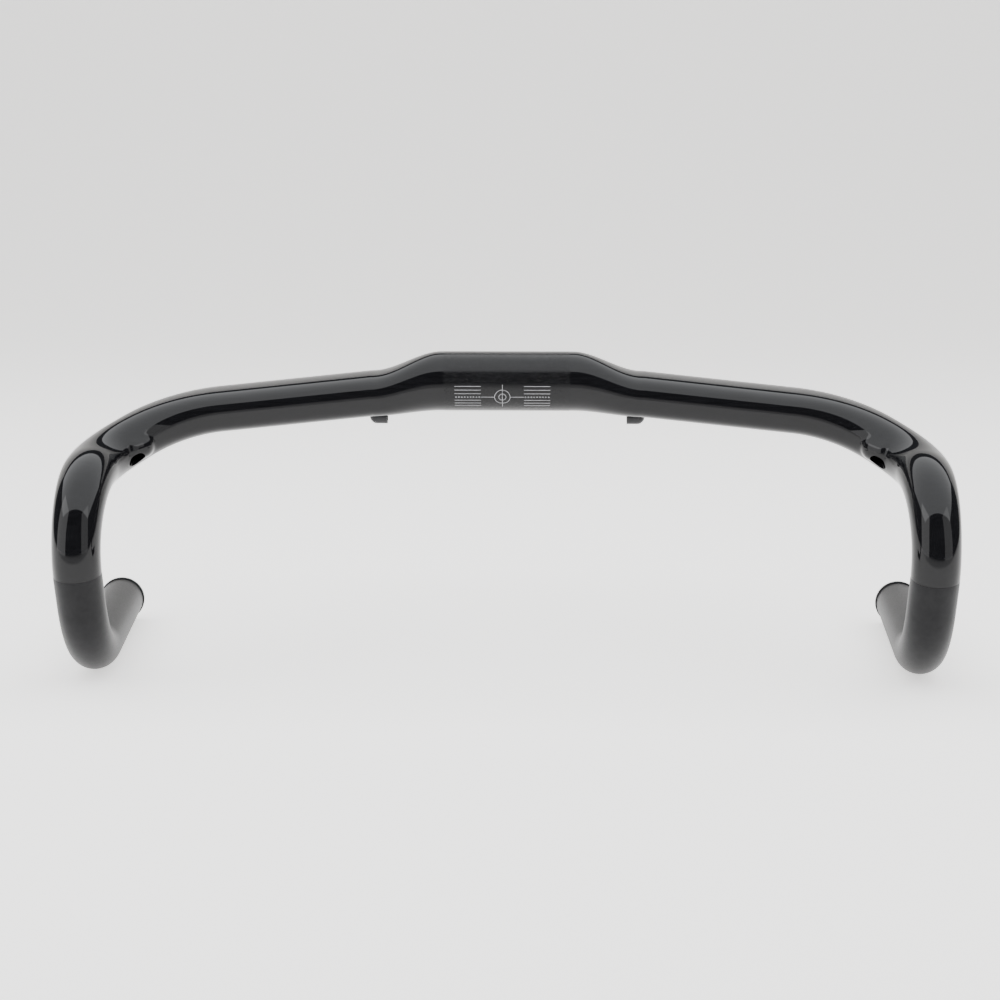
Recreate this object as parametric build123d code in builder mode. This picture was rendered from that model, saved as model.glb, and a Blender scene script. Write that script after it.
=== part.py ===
"""Drop handlebar: moulded centre section, two bonded drops, cable guides and expanding end plugs.

Millimetres.  The origin is the middle of the stem clamp, +X runs along the bar to the rider's
left, -Y is forwards and +Z is up, with the bar standing on its two level drops.
"""
import math
import os

from build123d import *

os.makedirs("parts", exist_ok=True)

# ---------------------------------------------------------------- stem clamp and tops
CLAMP_RADIUS = 15.9          # 31.8 mm stem clamp
CLAMP_HALF = 35.0            # half the length of the clamp cylinder
CLAMP_WALL = 3.0
SHOULDER_END = 72.0          # where the shoulder has become the wing-shaped top
WING_HALF_DEPTH = 15.5
WING_HALF_HEIGHT = 11.2
WING_SQUARENESS = 2.5        # superellipse exponent; 2 is an ellipse
WING_PITCH = 11.0            # degrees the wing's chord points down at the front
BEND_HALF_DEPTH = 14.4       # fuller section around the bend
BEND_HALF_HEIGHT = 12.8
TUBE_RADIUS = 11.9           # 23.8 mm round tube of the hooks and drops
TUBE_WALL = 2.0

# ---------------------------------------------------------------- centre line of one half
TOP_START = Vector(SHOULDER_END, -5.0, -6.0)
INNER_BEND = Vector(178.0, -7.0, -17.0)
OUTER_BEND = Vector(211.0, -38.0, -36.0)
HOOK_FRONT = Vector(211.0, -100.0, -45.5)
HOOK_BOTTOM = Vector(211.5, -76.0, -134.0)
DROP_END = Vector(224.0, 44.0, -134.0)
INNER_BEND_RADIUS = 65.0
OUTER_BEND_RADIUS = 40.0
HOOK_FRONT_RADIUS = 39.0
HOOK_BOTTOM_RADIUS = 44.0
STATION_SPACING = 8.0        # distance between the sections of the moulded half
SHOULDER_SECTIONS = 6
OUTLINE_POINTS = 16

# ---------------------------------------------------------------- cable entry port
PORT_CENTRE = Vector(191.0, -37.9, -35.7)
PORT_OUT = Vector(-0.20, -0.75, -0.63).normalized()    # the way a cable leaves the port
PORT_RADIUS = 3.8
PORT_DEPTH = 9.0             # how far the port's bore is cut each way
HOOD_RADIUS = 6.5
HOOD_CENTRE = Vector(192.4, -34.5, -30.5)
HOOD_ALONG = Vector(0.70, -0.66, -0.20).normalized()
HOOD_RUN = 6.0               # straight length of the hood between its round ends

# ---------------------------------------------------------------- cable exit guide
GUIDE_MOUTH = Vector(64.0, -3.0, -18.6)
GUIDE_RADIUS = 4.0
GUIDE_LENGTH = 5.5           # straight part, before its rounded outboard end
GUIDE_SLOPE = 18.0           # degrees the cable drops towards the mouth
GUIDE_BORE = 2.8
GUIDE_GAP = 0.05
RELIEF_GAP = 0.6             # round the cable where it passes through and under the moulded wall
RELIEF_REACH = 12.0          # how far that clearance is cut each way from the mouth

# ---------------------------------------------------------------- cable liner
LINER_RADIUS = 3.0
LINER_SETBACK = 11.0         # from the middle of the port to the liner's end
LINER_WALL = 0.4
LINER_END = 84.0             # where the liner stops, outboard of the guide
LINER_WAYPOINTS = [Vector(190.0, -20.5, -27.0), Vector(163.0, -8.0, -16.5), Vector(120.0, -5.5, -11.5)]

# ---------------------------------------------------------------- bonded joint
JOINT_BEFORE_LEG = 3.5       # distance from the joint to the straight leg under it
ROUND_LEAD = 9.0             # the section is plain round over this distance above the joint
BOND_LINE = 0.1
SLEEVE_LENGTH = 13.0
SLEEVE_WALL = 1.5

# ---------------------------------------------------------------- end plug, seen along the drop
CAP_FLANGE_RADIUS = 12.6
CAP_FLANGE = 2.6
CAP_EDGE_ROUND = 1.2
CAP_SPIGOT = 7.0
HEAD_POCKET_RADIUS = 4.75
WASHER_RADIUS = 4.6
WASHER_THICK = 0.8
HEAD_RADIUS = 4.25           # M5 cap head
HEAD_HEIGHT = 4.6
HEAD_BELOW_FACE = 0.3
SOCKET_FLATS = 4.0
SOCKET_DEPTH = 2.5
SCREW_RADIUS = 2.5           # M5
SCREW_LENGTH = 26.0
RUNNING_FIT = 0.08
EXPANDER_LENGTH = 16.0
EXPANDER_GAP = 0.3           # to the bore of the drop, before it is spread
EXPANDER_BORE = 3.3
EXPANDER_SLOT = 1.4
EXPANDER_SLOT_DEPTH = 12.0
WEDGE_START = 13.0           # distance of the wedge's narrow end inside the mouth
WEDGE_LENGTH = 11.0
WEDGE_NARROW_RADIUS = 4.2
WEDGE_WIDE_RADIUS = 8.2

# ---------------------------------------------------------------- arithmetic of the centre line
def turn_angle(before, corner, after):
    """Angle in radians through which the centre line turns at a corner."""
    incoming = (corner - before).normalized()
    outgoing = (after - corner).normalized()
    return math.acos(incoming.dot(outgoing))


def setback(before, corner, after, radius):
    """Distance from a corner to the start of the tangent arc that rounds it."""
    return radius * math.tan(turn_angle(before, corner, after) / 2)


def rounded_path(points, radii):
    """Straight runs joined by tangent arcs, drawn in the open BuildLine."""
    start = points[0]
    for before, corner, after, radius in zip(points, points[1:], points[2:], radii):
        incoming = (corner - before).normalized()
        outgoing = (after - corner).normalized()
        cut = setback(before, corner, after, radius)
        sagitta = radius / math.cos(turn_angle(before, corner, after) / 2) - radius
        arc_start = corner - incoming * cut
        arc_end = corner + outgoing * cut
        arc_middle = corner + (outgoing - incoming).normalized() * sagitta
        Line(start, arc_start)
        ThreePointArc(arc_start, arc_middle, arc_end)
        start = arc_end
    Line(start, points[-1])


with BuildLine() as whole_line:
    rounded_path([TOP_START, INNER_BEND, OUTER_BEND, HOOK_FRONT, HOOK_BOTTOM, DROP_END],
                 [INNER_BEND_RADIUS, OUTER_BEND_RADIUS, HOOK_FRONT_RADIUS, HOOK_BOTTOM_RADIUS])
whole_wire = whole_line.wires()[0]
leg_at = sum(edge.length for edge in whole_line.edges()[:6])    # three straights and three bends
joint_at = leg_at - JOINT_BEFORE_LEG


def part_of_wire(start, finish):
    """The whole wire between two distances along it."""
    return whole_wire.trim(start / whole_wire.length, finish / whole_wire.length)


top_wire = part_of_wire(0, joint_at)
drop_wire = part_of_wire(joint_at + BOND_LINE, whole_wire.length)
sleeve_wire = part_of_wire(joint_at - SLEEVE_LENGTH / 2, joint_at + SLEEVE_LENGTH / 2)


# ---------------------------------------------------------------- sections of the moulded half
def ease(fraction):
    """Smooth step from 0 to 1 with level ends."""
    fraction = min(max(fraction, 0.0), 1.0)
    return fraction * fraction * (3 - 2 * fraction)


def blend(start, finish, fraction):
    return start + (finish - start) * fraction


def superellipse(half_depth, half_height, squareness):
    """Points of a closed outline that runs from an ellipse (2) towards a rounded box."""
    points = []
    for index in range(OUTLINE_POINTS):
        angle = 2 * math.pi * index / OUTLINE_POINTS
        across = math.copysign(abs(math.cos(angle)) ** (2 / squareness), math.cos(angle))
        up = math.copysign(abs(math.sin(angle)) ** (2 / squareness), math.sin(angle))
        points.append((half_depth * across, half_height * up))
    return points


def closed_outline(half_depth, half_height, squareness):
    """The superellipse as one edge whose knots are the same on every section, for a light loft."""
    return Edge.make_spline(
        [Vector(*point) for point in superellipse(half_depth, half_height, squareness)],
        periodic=True,
        parameters=[index / OUTLINE_POINTS for index in range(OUTLINE_POINTS + 1)])


chord = Vector(0, -math.cos(math.radians(WING_PITCH)), -math.sin(math.radians(WING_PITCH)))
wing_until = (INNER_BEND - TOP_START).length - setback(
    TOP_START, INNER_BEND, OUTER_BEND, INNER_BEND_RADIUS)
round_from = top_wire.length - ROUND_LEAD
fullest_at = (wing_until + round_from) / 2

# Each section is (plane, half depth, half height, squareness, wall).
sections = []
for step in range(1, SHOULDER_SECTIONS + 1):
    fraction = step / (SHOULDER_SECTIONS + 1)
    along = blend(CLAMP_HALF, SHOULDER_END, fraction)
    shape = ease(fraction)
    centre = Vector(along, TOP_START.Y * shape, TOP_START.Z * shape)
    sections.append((
        Plane(origin=centre, x_dir=chord, z_dir=(1, 0, 0)),
        blend(CLAMP_RADIUS, WING_HALF_DEPTH, shape),
        blend(CLAMP_RADIUS, WING_HALF_HEIGHT, shape),
        blend(2.0, WING_SQUARENESS, shape),
        blend(CLAMP_WALL, TUBE_WALL, shape)))

station_count = round(top_wire.length / STATION_SPACING)
depth_direction = chord
for station in range(station_count + 1):
    distance = top_wire.length * station / station_count
    tangent = top_wire.tangent_at(distance, position_mode=PositionMode.LENGTH)
    depth_direction = (depth_direction - tangent * depth_direction.dot(tangent)).normalized()
    filled = ease((distance - wing_until) / (fullest_at - wing_until))
    rounded = ease((distance - fullest_at) / (round_from - fullest_at))
    sections.append((
        Plane(origin=top_wire.position_at(distance, position_mode=PositionMode.LENGTH),
              x_dir=depth_direction, z_dir=tangent),
        blend(blend(WING_HALF_DEPTH, BEND_HALF_DEPTH, filled), TUBE_RADIUS, rounded),
        blend(blend(WING_HALF_HEIGHT, BEND_HALF_HEIGHT, filled), TUBE_RADIUS, rounded),
        blend(WING_SQUARENESS, 2.0, filled),
        TUBE_WALL))

cable_out = Vector(-math.cos(math.radians(GUIDE_SLOPE)), 0, -math.sin(math.radians(GUIDE_SLOPE)))
with BuildPart() as centre_section:
    with BuildSketch(Plane(origin=(CLAMP_HALF, 0, 0), x_dir=chord, z_dir=(1, 0, 0))):
        Circle(CLAMP_RADIUS)
    for plane, half_depth, half_height, squareness, wall in sections:
        with BuildSketch(plane):
            with BuildLine():
                add(closed_outline(half_depth, half_height, squareness))
            make_face()
    loft()
    with BuildSketch(Plane(origin=HOOD_CENTRE - HOOD_ALONG * HOOD_RUN / 2, z_dir=HOOD_ALONG)):
        Circle(HOOD_RADIUS)
    extrude(amount=HOOD_RUN)
    with Locations(HOOD_CENTRE - HOOD_ALONG * HOOD_RUN / 2, HOOD_CENTRE + HOOD_ALONG * HOOD_RUN / 2):
        Sphere(HOOD_RADIUS)
    with BuildSketch(Plane(origin=(CLAMP_HALF, 0, 0), x_dir=chord, z_dir=(1, 0, 0))):
        Circle(CLAMP_RADIUS - CLAMP_WALL)
    for plane, half_depth, half_height, squareness, wall in sections:
        with BuildSketch(plane):
            with BuildLine():
                add(closed_outline(half_depth - wall, half_height - wall, squareness))
            make_face()
    loft(mode=Mode.SUBTRACT)
    with BuildSketch(Plane(origin=PORT_CENTRE - PORT_OUT * PORT_DEPTH, z_dir=PORT_OUT)):
        Circle(PORT_RADIUS)
    extrude(amount=2 * PORT_DEPTH, mode=Mode.SUBTRACT)
    with BuildSketch(Plane(origin=GUIDE_MOUTH, z_dir=(1, 0, 0))):
        Circle(GUIDE_RADIUS + GUIDE_GAP)
    extrude(amount=GUIDE_LENGTH, mode=Mode.SUBTRACT)
    with Locations(GUIDE_MOUTH + Vector(GUIDE_LENGTH, 0, 0)):
        Sphere(GUIDE_RADIUS + GUIDE_GAP, mode=Mode.SUBTRACT)
    with BuildSketch(Plane(origin=GUIDE_MOUTH, z_dir=cable_out)):
        Circle(GUIDE_BORE + RELIEF_GAP)
    extrude(amount=RELIEF_REACH, both=True, mode=Mode.SUBTRACT)
    mirror(about=Plane.YZ)
    with BuildSketch(Plane.YZ):
        Circle(CLAMP_RADIUS)
        Circle(CLAMP_RADIUS - CLAMP_WALL, mode=Mode.SUBTRACT)
    extrude(amount=CLAMP_HALF, both=True)
centre_section.part.label = "centre_section"
export_step(centre_section.part, "parts/centre_section.step")

# ---------------------------------------------------------------- left-hand pieces
bore_radius = TUBE_RADIUS - TUBE_WALL
with BuildPart() as left_drop:
    with BuildSketch(Plane(origin=drop_wire @ 0, z_dir=drop_wire % 0)):
        Circle(TUBE_RADIUS)
        Circle(bore_radius, mode=Mode.SUBTRACT)
    sweep(path=drop_wire)
left_drop.part.label = "left_drop"

with BuildPart() as left_joint_sleeve:
    with BuildSketch(Plane(origin=sleeve_wire @ 0, z_dir=sleeve_wire % 0)):
        Circle(bore_radius - BOND_LINE)
        Circle(bore_radius - SLEEVE_WALL, mode=Mode.SUBTRACT)
    sweep(path=sleeve_wire)
left_joint_sleeve.part.label = "left_joint_sleeve"

with BuildPart() as left_exit_guide:
    with BuildSketch(Plane(origin=GUIDE_MOUTH, z_dir=(1, 0, 0))):
        Circle(GUIDE_RADIUS)
    extrude(amount=GUIDE_LENGTH)
    with Locations(GUIDE_MOUTH + Vector(GUIDE_LENGTH, 0, 0)):
        Sphere(GUIDE_RADIUS)
    with BuildSketch(Plane(origin=GUIDE_MOUTH, z_dir=cable_out)):
        Circle(GUIDE_BORE)
    extrude(amount=3 * GUIDE_RADIUS, both=True, mode=Mode.SUBTRACT)
left_exit_guide.part.label = "left_exit_guide"

liner_start = PORT_CENTRE - PORT_OUT * LINER_SETBACK
liner_finish = GUIDE_MOUTH - cable_out * ((LINER_END - GUIDE_MOUTH.X) / -cable_out.X)
with BuildLine() as liner_line:
    Spline(liner_start, *LINER_WAYPOINTS, liner_finish)
liner_wire = liner_line.wires()[0]
with BuildPart() as left_cable_liner:
    with BuildSketch(Plane(origin=liner_wire @ 0, z_dir=liner_wire % 0)):
        Circle(LINER_RADIUS)
    sweep(path=liner_wire)
    with BuildSketch(Plane(origin=liner_wire @ 0, z_dir=liner_wire % 0)):
        Circle(LINER_RADIUS - LINER_WALL)
    sweep(path=liner_wire, mode=Mode.SUBTRACT)
left_cable_liner.part.label = "left_cable_liner"

# ---------------------------------------------------------------- left end plug
mouth = Plane(origin=DROP_END, z_dir=drop_wire % 1)      # its z points out of the drop
head_top = CAP_FLANGE - HEAD_BELOW_FACE
head_seat = head_top - HEAD_HEIGHT
washer_seat = head_seat - WASHER_THICK

with BuildPart() as left_plug_cap:
    with BuildSketch(mouth):
        Circle(CAP_FLANGE_RADIUS)
    extrude(amount=CAP_FLANGE)
    fillet(left_plug_cap.edges().sort_by(Axis(mouth.origin, mouth.z_dir))[-1], CAP_EDGE_ROUND)
    with BuildSketch(mouth):
        Circle(bore_radius - RUNNING_FIT)
    extrude(amount=-CAP_SPIGOT)
    with BuildSketch(mouth.offset(washer_seat)):
        Circle(HEAD_POCKET_RADIUS)
    extrude(amount=2 * CAP_FLANGE + HEAD_HEIGHT, mode=Mode.SUBTRACT)
    with BuildSketch(mouth):
        Circle(SCREW_RADIUS + RUNNING_FIT)
    extrude(amount=-2 * CAP_SPIGOT, mode=Mode.SUBTRACT)
left_plug_cap.part.label = "left_plug_cap"

with BuildPart() as left_plug_washer:
    with BuildSketch(mouth.offset(washer_seat)):
        Circle(WASHER_RADIUS)
        Circle(SCREW_RADIUS + RUNNING_FIT, mode=Mode.SUBTRACT)
    extrude(amount=WASHER_THICK)
left_plug_washer.part.label = "left_plug_washer"

with BuildPart() as left_plug_screw:
    with BuildSketch(mouth.offset(head_seat)):
        Circle(HEAD_RADIUS)
    extrude(amount=HEAD_HEIGHT)
    with BuildSketch(mouth.offset(head_seat)):
        Circle(SCREW_RADIUS)
    extrude(amount=-SCREW_LENGTH)
    with BuildSketch(mouth.offset(head_top)):
        RegularPolygon(SOCKET_FLATS / 2, 6, major_radius=False)
    extrude(amount=-SOCKET_DEPTH, mode=Mode.SUBTRACT)
left_plug_screw.part.label = "left_plug_screw"

wedge_slope = (WEDGE_WIDE_RADIUS - WEDGE_NARROW_RADIUS) / WEDGE_LENGTH
expander_end = CAP_SPIGOT + EXPANDER_LENGTH
cone_start_radius = WEDGE_NARROW_RADIUS + RUNNING_FIT
cone_end_radius = cone_start_radius + wedge_slope * (expander_end - WEDGE_START)
with BuildPart() as left_plug_expander:
    with BuildSketch(mouth.offset(-CAP_SPIGOT)):
        Circle(bore_radius - EXPANDER_GAP)
        Circle(EXPANDER_BORE, mode=Mode.SUBTRACT)
    extrude(amount=-EXPANDER_LENGTH)
    with BuildSketch(mouth.offset(-WEDGE_START)):
        Circle(cone_start_radius)
    with BuildSketch(mouth.offset(-expander_end)):
        Circle(cone_end_radius)
    loft(mode=Mode.SUBTRACT)
    with BuildSketch(mouth.offset(-expander_end)):
        Rectangle(EXPANDER_SLOT, 2 * bore_radius)
        Rectangle(2 * bore_radius, EXPANDER_SLOT)
    extrude(amount=EXPANDER_SLOT_DEPTH, mode=Mode.SUBTRACT)
left_plug_expander.part.label = "left_plug_expander"

with BuildPart() as left_plug_wedge:
    with BuildSketch(mouth.offset(-WEDGE_START)):
        Circle(WEDGE_NARROW_RADIUS)
    with BuildSketch(mouth.offset(-WEDGE_START - WEDGE_LENGTH)):
        Circle(WEDGE_WIDE_RADIUS)
    loft()
    with BuildSketch(mouth.offset(-WEDGE_START)):
        Circle(SCREW_RADIUS + RUNNING_FIT)
    extrude(amount=-WEDGE_LENGTH, mode=Mode.SUBTRACT)
left_plug_wedge.part.label = "left_plug_wedge"

# ---------------------------------------------------------------- both sides
left_pieces = [left_drop, left_joint_sleeve, left_exit_guide, left_cable_liner, left_plug_cap,
               left_plug_washer, left_plug_screw, left_plug_expander, left_plug_wedge]
for left_piece in left_pieces:
    name = left_piece.part.label
    export_step(left_piece.part, f"parts/{name}.step")
    right_name = name.replace("left", "right")
    with BuildPart() as right_piece:
        add(mirror(left_piece.part, about=Plane.YZ))
    right_piece.part.label = right_name
    export_step(right_piece.part, f"parts/{right_name}.step")
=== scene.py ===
"""Drop handlebar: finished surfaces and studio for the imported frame.  Metres, in the CAD frame."""
import math

import bpy
from mathutils import Matrix, Vector


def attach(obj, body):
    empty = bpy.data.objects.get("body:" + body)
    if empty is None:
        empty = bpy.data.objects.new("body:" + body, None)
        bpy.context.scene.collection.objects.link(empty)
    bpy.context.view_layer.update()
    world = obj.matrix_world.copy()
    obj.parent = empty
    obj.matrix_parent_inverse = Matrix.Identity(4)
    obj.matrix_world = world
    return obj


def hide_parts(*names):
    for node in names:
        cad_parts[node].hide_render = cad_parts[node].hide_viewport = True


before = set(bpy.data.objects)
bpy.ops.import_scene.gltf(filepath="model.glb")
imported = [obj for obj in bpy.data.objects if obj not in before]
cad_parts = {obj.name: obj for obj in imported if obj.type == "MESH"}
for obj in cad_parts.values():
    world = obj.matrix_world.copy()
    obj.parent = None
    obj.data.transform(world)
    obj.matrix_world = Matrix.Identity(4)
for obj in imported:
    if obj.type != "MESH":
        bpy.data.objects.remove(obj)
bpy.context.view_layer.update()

MM = 0.001
LEFT, RIGHT = 1, -1
SMOOTH_ANGLE = math.radians(35)      # edges sharper than this stay sharp in the shading

# ---------------------------------------------------------------- shape of the bar, in millimetres
CLAMP_RADIUS, CLAMP_HALF, CLAMP_WALL = 15.9, 35.0, 3.0
SHOULDER_END = 72.0
WING_HALF_DEPTH, WING_HALF_HEIGHT, WING_SQUARENESS, WING_PITCH = 15.5, 11.2, 2.5, 11.0
BEND_HALF_DEPTH, BEND_HALF_HEIGHT = 14.4, 12.8
TUBE_RADIUS, TUBE_WALL = 11.9, 2.0
TOP_START = Vector((SHOULDER_END, -5.0, -6.0))
INNER_BEND = Vector((178.0, -7.0, -17.0))
OUTER_BEND = Vector((211.0, -38.0, -36.0))
HOOK_FRONT = Vector((211.0, -100.0, -45.5))
HOOK_BOTTOM = Vector((211.5, -76.0, -134.0))
DROP_END = Vector((224.0, 44.0, -134.0))
INNER_BEND_RADIUS, OUTER_BEND_RADIUS, HOOK_FRONT_RADIUS, HOOK_BOTTOM_RADIUS = 65.0, 40.0, 39.0, 44.0
PORT_CENTRE, PORT_RADIUS = Vector((191.0, -37.9, -35.7)), 3.8
PORT_OUT = Vector((-0.20, -0.75, -0.63)).normalized()
HOOD_CENTRE, HOOD_RADIUS, HOOD_RUN = Vector((192.4, -34.5, -30.5)), 6.5, 6.0
HOOD_ALONG = Vector((0.70, -0.66, -0.20)).normalized()
HOOD_FILLET = 0.6            # softness of the hood's foot
GUIDE_MOUTH, GUIDE_BORE, GUIDE_SLOPE, RELIEF_GAP = Vector((64.0, -3.0, -18.6)), 2.8, 18.0, 0.6
JOINT_BEFORE_LEG, ROUND_LEAD, BOND_LINE = 3.5, 9.0, 0.1
RING_SPACING, INNER_RING_SPACING, AROUND = 1.5, 5.0, 96


# ---------------------------------------------------------------- centre line
def turn_angle(before, corner, after):
    return (corner - before).angle(after - corner)


def setback(before, corner, after, radius):
    return radius * math.tan(turn_angle(before, corner, after) / 2)


class Route:
    """Straight runs joined by tangent arcs, read by distance along it."""

    def __init__(self, points, radii):
        self.pieces = []
        self.length = 0.0
        start = points[0]
        for before, corner, after, radius in zip(points, points[1:], points[2:], radii):
            incoming = (corner - before).normalized()
            outgoing = (after - corner).normalized()
            cut = setback(before, corner, after, radius)
            turn = turn_angle(before, corner, after)
            arc_start = corner - incoming * cut
            inward = (outgoing - incoming * outgoing.dot(incoming)).normalized()
            self._add((arc_start - start).length, start, incoming, None, 0.0)
            self._add(radius * turn, arc_start, incoming, inward, radius)
            start = corner + outgoing * cut
        last = points[-1] - start
        self._add(last.length, start, last.normalized(), None, 0.0)

    def _add(self, length, start, direction, inward, radius):
        self.pieces.append((self.length, length, start, direction, inward, radius))
        self.length += length

    def at(self, distance):
        """(point, direction) at a distance from the start."""
        for begin, length, start, direction, inward, radius in self.pieces:
            if distance <= begin + length or begin + length >= self.length - 1e-9:
                break
        along = distance - begin
        if inward is None:
            return start + direction * along, direction
        angle = along / radius
        point = start + direction * (radius * math.sin(angle)) + inward * (radius * (1 - math.cos(angle)))
        return point, direction * math.cos(angle) + inward * math.sin(angle)


route = Route([TOP_START, INNER_BEND, OUTER_BEND, HOOK_FRONT, HOOK_BOTTOM, DROP_END],
              [INNER_BEND_RADIUS, OUTER_BEND_RADIUS, HOOK_FRONT_RADIUS, HOOK_BOTTOM_RADIUS])
joint_at = route.pieces[6][0] - JOINT_BEFORE_LEG


# ---------------------------------------------------------------- sections
def ease(fraction):
    fraction = min(max(fraction, 0.0), 1.0)
    return fraction * fraction * (3 - 2 * fraction)


def blend(start, finish, fraction):
    return start + (finish - start) * fraction


def outline(half_depth, half_height, squareness, count):
    """Superellipse points, spaced by angle."""
    points = []
    for index in range(count):
        angle = math.tau * index / count
        across = math.copysign(abs(math.cos(angle)) ** (2 / squareness), math.cos(angle))
        up = math.copysign(abs(math.sin(angle)) ** (2 / squareness), math.sin(angle))
        points.append((half_depth * across, half_height * up))
    return points


chord = Vector((0, -math.cos(math.radians(WING_PITCH)), -math.sin(math.radians(WING_PITCH))))
wing_until = (INNER_BEND - TOP_START).length - setback(TOP_START, INNER_BEND, OUTER_BEND, INNER_BEND_RADIUS)
round_from = joint_at - ROUND_LEAD
fullest_at = (wing_until + round_from) / 2


def half_sections(spacing):
    """(centre, tangent, half depth, half height, squareness, wall) from the middle to the left joint."""
    found = []
    for step in range(round(CLAMP_HALF / spacing) + 1):
        centre = Vector((CLAMP_HALF * step / round(CLAMP_HALF / spacing), 0, 0))
        found.append((centre, Vector((1, 0, 0)), CLAMP_RADIUS, CLAMP_RADIUS, 2.0, CLAMP_WALL))
    steps = round((SHOULDER_END - CLAMP_HALF) / spacing)
    for step in range(1, steps):
        shape = ease(step / steps)
        along = blend(CLAMP_HALF, SHOULDER_END, step / steps)
        centre = Vector((along, TOP_START.y * shape, TOP_START.z * shape))
        found.append((centre, Vector((1, 0, 0)), blend(CLAMP_RADIUS, WING_HALF_DEPTH, shape),
                      blend(CLAMP_RADIUS, WING_HALF_HEIGHT, shape), blend(2.0, WING_SQUARENESS, shape),
                      blend(CLAMP_WALL, TUBE_WALL, shape)))
    steps = round(joint_at / spacing)
    for step in range(steps + 1):
        distance = joint_at * step / steps
        centre, tangent = route.at(distance)
        filled = ease((distance - wing_until) / (fullest_at - wing_until))
        rounded = ease((distance - fullest_at) / (round_from - fullest_at))
        found.append((centre, tangent,
                      blend(blend(WING_HALF_DEPTH, BEND_HALF_DEPTH, filled), TUBE_RADIUS, rounded),
                      blend(blend(WING_HALF_HEIGHT, BEND_HALF_HEIGHT, filled), TUBE_RADIUS, rounded),
                      blend(WING_SQUARENESS, 2.0, filled), TUBE_WALL))
    return found


def section_rings(sections, inset):
    """One ring of points for each section; inset takes the wall off for the inside."""
    rings = []
    depth_axis = chord
    for centre, tangent, half_depth, half_height, squareness, wall in sections:
        depth_axis = (depth_axis - tangent * depth_axis.dot(tangent)).normalized()
        height_axis = tangent.cross(depth_axis)
        less = wall if inset else 0.0
        rings.append([centre + depth_axis * across + height_axis * up
                      for across, up in outline(half_depth - less, half_height - less, squareness, AROUND)])
    return rings


def both_halves(rings):
    """A half's rings from the middle outwards, joined to their mirror image."""
    mirrored = [[Vector((-point.x, point.y, point.z)) for point in ring] for ring in rings[:0:-1]]
    return mirrored + rings


def hooded(point):
    """Pushes a point of the outer skin out to the moulded hood round the cable port, with a soft foot."""
    side = math.copysign(1, point.x)
    place = Vector((abs(point.x), point.y, point.z))
    along = min(max((place - HOOD_CENTRE).dot(HOOD_ALONG), -HOOD_RUN / 2), HOOD_RUN / 2)
    offset = place - (HOOD_CENTRE + HOOD_ALONG * along)
    if offset.length > 2 * HOOD_RADIUS:
        return point
    lead = (HOOD_RADIUS - offset.length) / HOOD_FILLET
    place += offset.normalized() * (HOOD_FILLET * math.log1p(math.exp(lead)))
    return Vector((side * place.x, place.y, place.z))


# ---------------------------------------------------------------- meshes
def new_piece(name, points, faces):
    """A mesh object from points in millimetres."""
    mesh = bpy.data.meshes.new(name)
    mesh.from_pydata([point * MM for point in points], [], faces)
    mesh.validate()
    mesh.polygons.foreach_set("use_smooth", [True] * len(mesh.polygons))
    mesh.set_sharp_from_angle(angle=SMOOTH_ANGLE)
    piece = bpy.data.objects.new(name, mesh)
    bpy.context.scene.collection.objects.link(piece)
    return piece


def bridge(first_start, second_start, count, flip=False):
    """Faces between two rings of points, given where each ring starts."""
    faces = []
    for index in range(count):
        after = (index + 1) % count
        face = (first_start + index, first_start + after, second_start + after, second_start + index)
        faces.append(face[::-1] if flip else face)
    return faces


def tube(name, outer, inner):
    """A closed hollow tube from rings of points; the outer and inner rings end at the same places."""
    count = len(outer[0])
    points = [point for ring in outer + inner for point in ring]
    faces = []
    for ring in range(len(outer) - 1):
        faces += bridge(ring * count, (ring + 1) * count, count)
    inside = len(outer) * count
    for ring in range(len(inner) - 1):
        faces += bridge(inside + ring * count, inside + (ring + 1) * count, count, flip=True)
    faces += bridge(0, inside, count, flip=True)
    faces += bridge(inside - count, inside + (len(inner) - 1) * count, count)
    return new_piece(name, points, faces)


def turned(name, place, profile, count=64):
    """A turned solid with flat ends: profile is (height, radius), and place takes it to the frame."""
    points, faces = [], []
    for height, radius in profile:
        for index in range(count):
            angle = math.tau * index / count
            points.append(place @ Vector((radius * math.cos(angle), radius * math.sin(angle), height)))
    last = (len(profile) - 1) * count
    for start in range(0, last, count):
        faces += bridge(start, start + count, count)
    faces.append(tuple(range(count))[::-1])
    faces.append(tuple(range(last, last + count)))
    return new_piece(name, points, faces)


def axes_to(origin, direction):
    """Matrix that puts local z along a direction at an origin."""
    return Matrix.Translation(origin) @ direction.to_track_quat("Z", "X").to_matrix().to_4x4()


def cut(piece, *cutters):
    """Takes the cutters out of a piece and removes them."""
    for cutter in cutters:
        modifier = piece.modifiers.new("cut", "BOOLEAN")
        modifier.operation = "DIFFERENCE"
        modifier.solver = "EXACT"
        modifier.object = cutter
    bpy.context.view_layer.update()
    result = bpy.data.meshes.new_from_object(piece.evaluated_get(bpy.context.evaluated_depsgraph_get()))
    piece.modifiers.clear()
    piece.data = result
    result.polygons.foreach_set("use_smooth", [True] * len(result.polygons))
    result.set_sharp_from_angle(angle=SMOOTH_ANGLE)
    for cutter in cutters:
        bpy.data.objects.remove(cutter)


def mirror_piece(piece, name):
    """The same piece on the other side of the bar."""
    mesh = piece.data.copy()
    mesh.transform(Matrix.Scale(-1, 4, (1, 0, 0)))
    mesh.flip_normals()
    other = bpy.data.objects.new(name, mesh)
    bpy.context.scene.collection.objects.link(other)
    return other


def settle(piece, body, slot, material, *nodes):
    """Gives a finished piece its material and body, and hides the CAD nodes that it stands for; slot is not
    used.
    """
    piece.data.name = piece.name
    piece.data.materials.clear()
    piece.data.materials.append(material)
    if nodes:
        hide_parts(*nodes)
    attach(piece, body)


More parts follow.
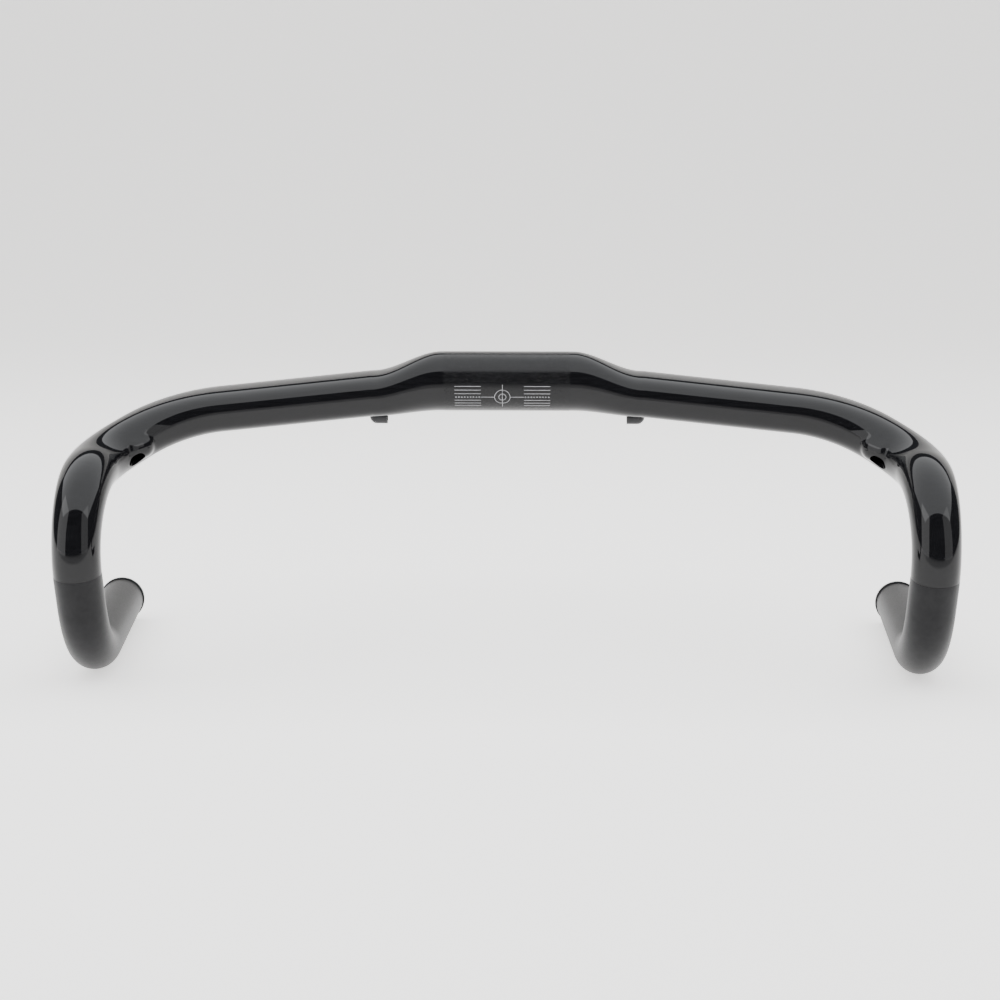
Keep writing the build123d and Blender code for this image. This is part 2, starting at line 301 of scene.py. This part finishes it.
def settle_pair(left_piece, stem, body, slot, material):
    """Settles a left piece and its mirror image; stem is the name without its side."""
    right_piece = mirror_piece(left_piece, "right_" + stem + "_skin")
    for side, piece in (("left", left_piece), ("right", right_piece)):
        settle(piece, body, slot, material, side + "_" + stem)


# ---------------------------------------------------------------- materials
def shader(name, base, roughness, metallic=0.0, specular=0.5):
    """A material with one Principled shader; its numbers are set on the sockets."""
    material = bpy.data.materials.new(name)
    material.use_nodes = True
    bsdf = material.node_tree.nodes["Principled BSDF"]
    bsdf.inputs["Base Color"].default_value = (*base, 1)
    bsdf.inputs["Roughness"].default_value = roughness
    bsdf.inputs["Metallic"].default_value = metallic
    bsdf.inputs["Specular IOR Level"].default_value = specular
    return material, bsdf


def node(material, kind, **values):
    """A new shader node with its settings."""
    made = material.node_tree.nodes.new(kind)
    for key, value in values.items():
        setattr(made, key, value)
    return made


def link(material, source, target):
    material.node_tree.links.new(source, target)


def place_of(material):
    """Where a point is on the object, in metres."""
    return node(material, "ShaderNodeTexCoord").outputs["Object"]


def noise(material, place, scale, detail=4.0, stretch=None):
    """Fine noise by position; stretch squeezes it along the axes, for streaks."""
    if stretch:
        mapping = node(material, "ShaderNodeMapping")
        mapping.inputs["Scale"].default_value = stretch
        link(material, place, mapping.inputs["Vector"])
        place = mapping.outputs["Vector"]
    texture = node(material, "ShaderNodeTexNoise")
    texture.inputs["Scale"].default_value = scale
    texture.inputs["Detail"].default_value = detail
    link(material, place, texture.inputs["Vector"])
    return texture.outputs["Fac"]


def spread(material, value, low, high, from_low=0.3, from_high=0.7):
    """Maps a noise value onto a range."""
    mapped = node(material, "ShaderNodeMapRange")
    mapped.inputs["From Min"].default_value = from_low
    mapped.inputs["From Max"].default_value = from_high
    mapped.inputs["To Min"].default_value = low
    mapped.inputs["To Max"].default_value = high
    link(material, value, mapped.inputs["Value"])
    return mapped.outputs["Result"]


def tint(material, bsdf, value, dark, light):
    """Base colour that varies from dark to light with a noise value."""
    ramp = node(material, "ShaderNodeValToRGB")
    ramp.color_ramp.elements[0].position = 0.3
    ramp.color_ramp.elements[0].color = (*dark, 1)
    ramp.color_ramp.elements[1].position = 0.7
    ramp.color_ramp.elements[1].color = (*light, 1)
    link(material, value, ramp.inputs["Fac"])
    link(material, ramp.outputs["Color"], bsdf.inputs["Base Color"])


def bump(material, bsdf, height, distance):
    """Relief from a height value; distance is in metres."""
    made = node(material, "ShaderNodeBump")
    made.inputs["Distance"].default_value = distance
    link(material, height, made.inputs["Height"])
    link(material, made.outputs["Normal"], bsdf.inputs["Normal"])


def grained(name, dark, light, rough_low, rough_high, scale, relief, **look):
    """Moulded or machined surface: colour, roughness and relief from fine noise."""
    material, bsdf = shader(name, dark, rough_low, **look)
    place = place_of(material)
    fine = noise(material, place, scale)
    tint(material, bsdf, noise(material, place, scale / 6), dark, light)
    link(material, spread(material, fine, rough_low, rough_high), bsdf.inputs["Roughness"])
    bump(material, bsdf, fine, relief)
    return material


# In metres: half lengths of the clamp's anti-slip zone and its soft edge, then relief of lacquer and flecks.
GRIP_HALF, GRIP_EDGE = 0.0335, 0.0004
LACQUER_WAVE, GRIT_HEIGHT = 0.00002, 0.0002


def gloss_carbon():
    """Lacquered black carbon, with the speckled anti-slip finish across the clamp."""
    material, bsdf = shader("gloss_carbon", (0.004, 0.004, 0.005), 0.05, specular=0.27)
    place = place_of(material)
    streaks = noise(material, place, 900, stretch=(0.06, 1, 1))
    tint(material, bsdf, streaks, (0.003, 0.003, 0.0035), (0.006, 0.006, 0.007))
    axes = node(material, "ShaderNodeSeparateXYZ")
    link(material, place, axes.inputs["Vector"])
    distance = node(material, "ShaderNodeMath", operation="ABSOLUTE")
    link(material, axes.outputs["X"], distance.inputs[0])
    from_middle = distance.outputs["Value"]
    grip = spread(material, from_middle, 1.0, 0.0, GRIP_HALF - GRIP_EDGE, GRIP_HALF + GRIP_EDGE)
    speckle = noise(material, place, 2200, detail=1.0)
    waves = noise(material, place, 140, detail=1.0)
    gritty = node(material, "ShaderNodeMath", operation="MULTIPLY")
    link(material, speckle, gritty.inputs[0])
    link(material, grip, gritty.inputs[1])
    roughness = spread(material, gritty.outputs["Value"], 0.045, 0.30, 0.0, 0.8)
    link(material, roughness, bsdf.inputs["Roughness"])
    flecks = spread(material, gritty.outputs["Value"], 0.0, 1.0, 0.60, 0.72)
    lacquer = node(material, "ShaderNodeBump")
    lacquer.inputs["Distance"].default_value = LACQUER_WAVE
    link(material, waves, lacquer.inputs["Height"])
    grit = node(material, "ShaderNodeBump")
    grit.inputs["Distance"].default_value = GRIT_HEIGHT
    link(material, flecks, grit.inputs["Height"])
    link(material, lacquer.outputs["Normal"], grit.inputs["Normal"])
    link(material, grit.outputs["Normal"], bsdf.inputs["Normal"])
    return material


GLOSS_CARBON = gloss_carbon()
SATIN_CARBON = grained("satin_carbon", (0.007, 0.007, 0.008), (0.011, 0.011, 0.012),
                       0.34, 0.42, 1500, 0.000004, specular=0.15)
BONDED_CARBON = grained("bonded_carbon", (0.02, 0.02, 0.02), (0.035, 0.035, 0.035), 0.5, 0.7, 900, 0.00003)
GUIDE_NYLON = grained("guide_nylon", (0.014, 0.014, 0.015), (0.022, 0.022, 0.024),
                      0.34, 0.48, 1600, 0.00001, specular=0.25)
LINER_NYLON = grained("liner_nylon", (0.55, 0.55, 0.52), (0.64, 0.64, 0.61), 0.35, 0.5, 700, 0.00001)
PLUG_PLASTIC = grained("plug_plastic", (0.012, 0.012, 0.013), (0.020, 0.020, 0.021),
                       0.35, 0.5, 1800, 0.00002)
ZINC_STEEL = grained("zinc_steel", (0.55, 0.55, 0.53), (0.66, 0.66, 0.64),
                     0.25, 0.4, 1200, 0.000005, metallic=1.0)
BLACK_STEEL = grained("black_steel", (0.04, 0.04, 0.045), (0.07, 0.07, 0.075),
                      0.3, 0.45, 1500, 0.000008, metallic=1.0)
RUBBER = grained("expander_rubber", (0.015, 0.015, 0.015), (0.025, 0.025, 0.025), 0.6, 0.8, 900, 0.00003)
WEDGE_ALUMINIUM = grained("wedge_aluminium", (0.62, 0.62, 0.64), (0.74, 0.74, 0.76),
                          0.25, 0.4, 1100, 0.00001, metallic=1.0)
PRINT_INK = grained("print_ink", (0.34, 0.34, 0.36), (0.50, 0.50, 0.52), 0.4, 0.6, 4000, 0.000003)

# ---------------------------------------------------------------- moulded centre section
plain_rings = both_halves(section_rings(half_sections(RING_SPACING), False))
outer_rings = [[hooded(point) for point in ring] for ring in plain_rings]
inner_rings = both_halves(section_rings(half_sections(INNER_RING_SPACING), True))
centre = tube("centre_section_skin", outer_rings, inner_rings)

cable_out = Vector((-math.cos(math.radians(GUIDE_SLOPE)), 0, -math.sin(math.radians(GUIDE_SLOPE))))
CUT_REACH = 12.0             # how far the port and guide bores are cut each way
RIM_ROUND = 0.45             # chamfer round the mouth of the port
cutters = []
for side in (LEFT, RIGHT):
    flip = Matrix.Scale(side, 4, (1, 0, 0))
    port = axes_to(flip @ PORT_CENTRE, flip.to_3x3() @ PORT_OUT)
    cutters.append(turned("port_cutter", port, [
        (-CUT_REACH, PORT_RADIUS), (-2 * RIM_ROUND, PORT_RADIUS), (0, PORT_RADIUS + RIM_ROUND),
        (CUT_REACH, PORT_RADIUS + 3 * RIM_ROUND)]))
    mouth = axes_to(flip @ GUIDE_MOUTH, flip.to_3x3() @ cable_out)
    reach = GUIDE_BORE + RELIEF_GAP
    cutters.append(turned("guide_cutter", mouth, [(-CUT_REACH, reach), (CUT_REACH, reach)]))
cut(centre, *cutters)
settle(centre, "bar", "gloss_carbon", GLOSS_CARBON, "centre_section")


# ---------------------------------------------------------------- drops
def drop_rings(radius, spacing):
    """Round rings along the left drop, from the bonded joint to its open end."""
    start = joint_at + BOND_LINE
    steps = round((route.length - start) / spacing)
    rings = []
    depth_axis = chord
    for step in range(steps + 1):
        middle, tangent = route.at(blend(start, route.length, step / steps))
        depth_axis = (depth_axis - tangent * depth_axis.dot(tangent)).normalized()
        height_axis = tangent.cross(depth_axis)
        rings.append([middle + depth_axis * across + height_axis * up
                      for across, up in outline(radius, radius, 2.0, AROUND)])
    return rings


left_drop = tube("left_drop_skin", drop_rings(TUBE_RADIUS, RING_SPACING),
                 drop_rings(TUBE_RADIUS - TUBE_WALL, INNER_RING_SPACING))
settle_pair(left_drop, "drop", "bar", "satin_carbon", SATIN_CARBON)

# ---------------------------------------------------------------- alignment print on the clamp
PRINT_CENTRE_X, PRINT_ANGLE = -2.3, -24.4     # register mark: mm along the bar, degrees up from -Y
PRINT_HEIGHT, PRINT_LINE = 0.02, 0.22         # ink above the skin, width of a printed line
SCALE_STEP, SCALE_ROWS = 7.3, 3               # degrees between the lines, lines above and below the middle
SCALE_NEAR, SCALE_FAR = 11.4, 25.2
CROSSES, CROSS_HALF = 9, 0.42                 # small crosses along the middle line, on each side
RING_OUTSIDE, RING_INSIDE = 4.1, 1.9
UPRIGHT_HALF = 1.7 * RING_OUTSIDE             # half length of the register mark's upright line


def on_clamp(x, around):
    """A point of the ink: x along the bar, around in mm up the surface from the register mark."""
    angle = math.radians(PRINT_ANGLE) + around / CLAMP_RADIUS
    reach = CLAMP_RADIUS + PRINT_HEIGHT
    return Vector((PRINT_CENTRE_X + x, -reach * math.cos(angle), reach * math.sin(angle)))


def ink_line(points, faces, start, finish, steps=8):
    """Adds a straight printed line between two (x, around) places."""
    run = Vector(finish) - Vector(start)
    side = Vector((-run.y, run.x)).normalized() * (PRINT_LINE / 2)
    for step in range(steps + 1):
        middle = Vector(start) + run * (step / steps)
        for edge in (middle + side, middle - side):
            points.append(on_clamp(*edge))
        if step:
            last = len(points) - 1
            faces.append((last - 3, last - 2, last, last - 1))


def ink_ring(points, faces, radius, steps=72):
    """Adds a printed ring round the register mark."""
    first = len(points)
    for step in range(steps):
        angle = math.tau * step / steps
        for reach in (radius - PRINT_LINE / 2, radius + PRINT_LINE / 2):
            points.append(on_clamp(reach * math.cos(angle), reach * math.sin(angle)))
        here, after = first + 2 * step, first + 2 * ((step + 1) % steps)
        faces.append((here, here + 1, after + 1, after))


points, faces = [], []
for side in (LEFT, RIGHT):
    for row in range(-SCALE_ROWS, SCALE_ROWS + 1):
        around = math.radians(SCALE_STEP * row) * CLAMP_RADIUS
        if row:
            ink_line(points, faces, (side * SCALE_NEAR, around), (side * SCALE_FAR, around))
    for cross in range(CROSSES):
        middle = blend(SCALE_NEAR, SCALE_FAR, (cross + 0.5) / CROSSES)
        near, far = middle - CROSS_HALF, middle + CROSS_HALF
        ink_line(points, faces, (side * middle, -CROSS_HALF), (side * middle, CROSS_HALF), steps=2)
        ink_line(points, faces, (side * near, 0), (side * far, 0), steps=2)
    ink_line(points, faces, (side * RING_OUTSIDE, 0), (side * SCALE_NEAR, 0))
ink_line(points, faces, (0, -UPRIGHT_HALF), (0, UPRIGHT_HALF))
ink_ring(points, faces, RING_OUTSIDE)
ink_ring(points, faces, RING_INSIDE)
print_scale = new_piece("clamp_print", points, faces)
settle(print_scale, "bar", "gloss_carbon", PRINT_INK)

# ---------------------------------------------------------------- pieces that keep their CAD shape
KEPT = {"joint_sleeve": BONDED_CARBON, "exit_guide": GUIDE_NYLON, "cable_liner": LINER_NYLON,
        "plug_cap": PLUG_PLASTIC, "plug_washer": ZINC_STEEL, "plug_screw": BLACK_STEEL,
        "plug_expander": RUBBER, "plug_wedge": WEDGE_ALUMINIUM}
for side in ("left", "right"):
    for stem, material in KEPT.items():
        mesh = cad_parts[side + "_" + stem].data
        mesh.materials.clear()
        mesh.materials.append(material)


# ---------------------------------------------------------------- studio, metres
FLANGE_PROUD = 0.0007        # how far the plug caps' flanges reach below the drops
FLOOR_Z = (DROP_END.z - TUBE_RADIUS) * MM - FLANGE_PROUD
FLOOR_HALF, WALL_Y, WALL_TOP, SWEEP_RADIUS, SWEEP_STEPS = 4.0, 2.4, 2.0, 1.0, 24
TABLE_EDGE, TABLE_FADE = -0.42, 0.06    # the table is bright behind this line and fades in front of it
BACKDROP_GLOW = 1.1
SOFTBOX_Z, SOFTBOX_FRONT, SOFTBOX_BACK, SOFTBOX_WIDTH = 0.90, -0.93, 0.76, 3.6
SOFTBOX_POWER, SOFTBOX_COLOUR = 58, (0.97, 0.985, 1.0)
PANEL_Z, PANEL_TALL = 0.53, 1.35


def backdrop():
    """Floor that sweeps up into a wall behind the object, in one sheet."""
    profile = [(-FLOOR_HALF, FLOOR_Z), (TABLE_EDGE, FLOOR_Z)]
    for step in range(SWEEP_STEPS + 1):
        angle = math.radians(90 * step / SWEEP_STEPS)
        profile.append((WALL_Y - SWEEP_RADIUS + SWEEP_RADIUS * math.sin(angle),
                        FLOOR_Z + SWEEP_RADIUS * (1 - math.cos(angle))))
    profile.append((WALL_Y, WALL_TOP))
    corners = [(x, y, z) for y, z in profile for x in (-FLOOR_HALF, FLOOR_HALF)]
    faces = [(2 * step, 2 * step + 1, 2 * step + 3, 2 * step + 2) for step in range(len(profile) - 1)]
    mesh = bpy.data.meshes.new("backdrop")
    mesh.from_pydata(corners, [], faces)
    mesh.polygons.foreach_set("use_smooth", [True] * len(faces))
    made = bpy.data.objects.new("backdrop", mesh)
    bpy.context.scene.collection.objects.link(made)
    return made


def backdrop_material():
    """Pale paper with a little light of its own behind the front edge of the table."""
    material, bsdf = shader("backdrop", (0.82, 0.81, 0.80), 0.9, specular=0.1)
    bsdf.inputs["Emission Color"].default_value = (1, 0.985, 0.965, 1)
    axes = node(material, "ShaderNodeSeparateXYZ")
    link(material, place_of(material), axes.inputs["Vector"])
    glow = spread(material, axes.outputs["Y"], 0.0, BACKDROP_GLOW, TABLE_EDGE - TABLE_FADE, TABLE_EDGE)
    link(material, glow, bsdf.inputs["Emission Strength"])
    return material


backdrop().data.materials.append(backdrop_material())


def panel_light(name, place, target, size_x, size_y, power, colour=(1, 1, 1)):
    """Rectangular light at a place, facing a target; power is in watts."""
    data = bpy.data.lights.new(name, "AREA")
    data.shape = "RECTANGLE"
    data.size, data.size_y = size_x, size_y
    data.energy = power
    data.color = colour
    light = bpy.data.objects.new(name, data)
    light.location = place
    light.rotation_euler = (Vector(target) - Vector(place)).to_track_quat("-Z", "Y").to_euler()
    bpy.context.scene.collection.objects.link(light)


softbox_y = (SOFTBOX_FRONT + SOFTBOX_BACK) / 2
panel_light("softbox", (0, softbox_y, SOFTBOX_Z), (0, softbox_y, 0), SOFTBOX_WIDTH,
            SOFTBOX_BACK - SOFTBOX_FRONT, SOFTBOX_POWER, SOFTBOX_COLOUR)
panel_light("side_panel_left", (-1.3, -0.75, PANEL_Z), (0, 0, PANEL_Z), 1.1, PANEL_TALL, 12)
panel_light("side_panel_right", (1.1, -1.0, PANEL_Z), (0, 0, PANEL_Z), 0.9, PANEL_TALL, 6)

world = bpy.data.worlds.new("studio")
bpy.context.scene.world = world
world.use_nodes = True
sky = world.node_tree.nodes["Background"]
sky.inputs["Color"].default_value = (0.9, 0.95, 1.0, 1)
sky.inputs["Strength"].default_value = 0.12

# ---------------------------------------------------------------- camera, at the photograph's angle
camera_data = bpy.data.cameras.new("camera")
camera_data.lens, camera_data.sensor_width = 59.3, 36.0
camera_data.clip_start, camera_data.clip_end = 0.01, 50.0
camera = bpy.data.objects.new("camera", camera_data)
camera.location = (0.0137, -0.8748, 0.1209)
look = Vector((-0.0196, 0.978, -0.2079))
camera.rotation_euler = look.to_track_quat("-Z", "Y").to_euler()
bpy.context.scene.collection.objects.link(camera)
bpy.context.scene.camera = camera
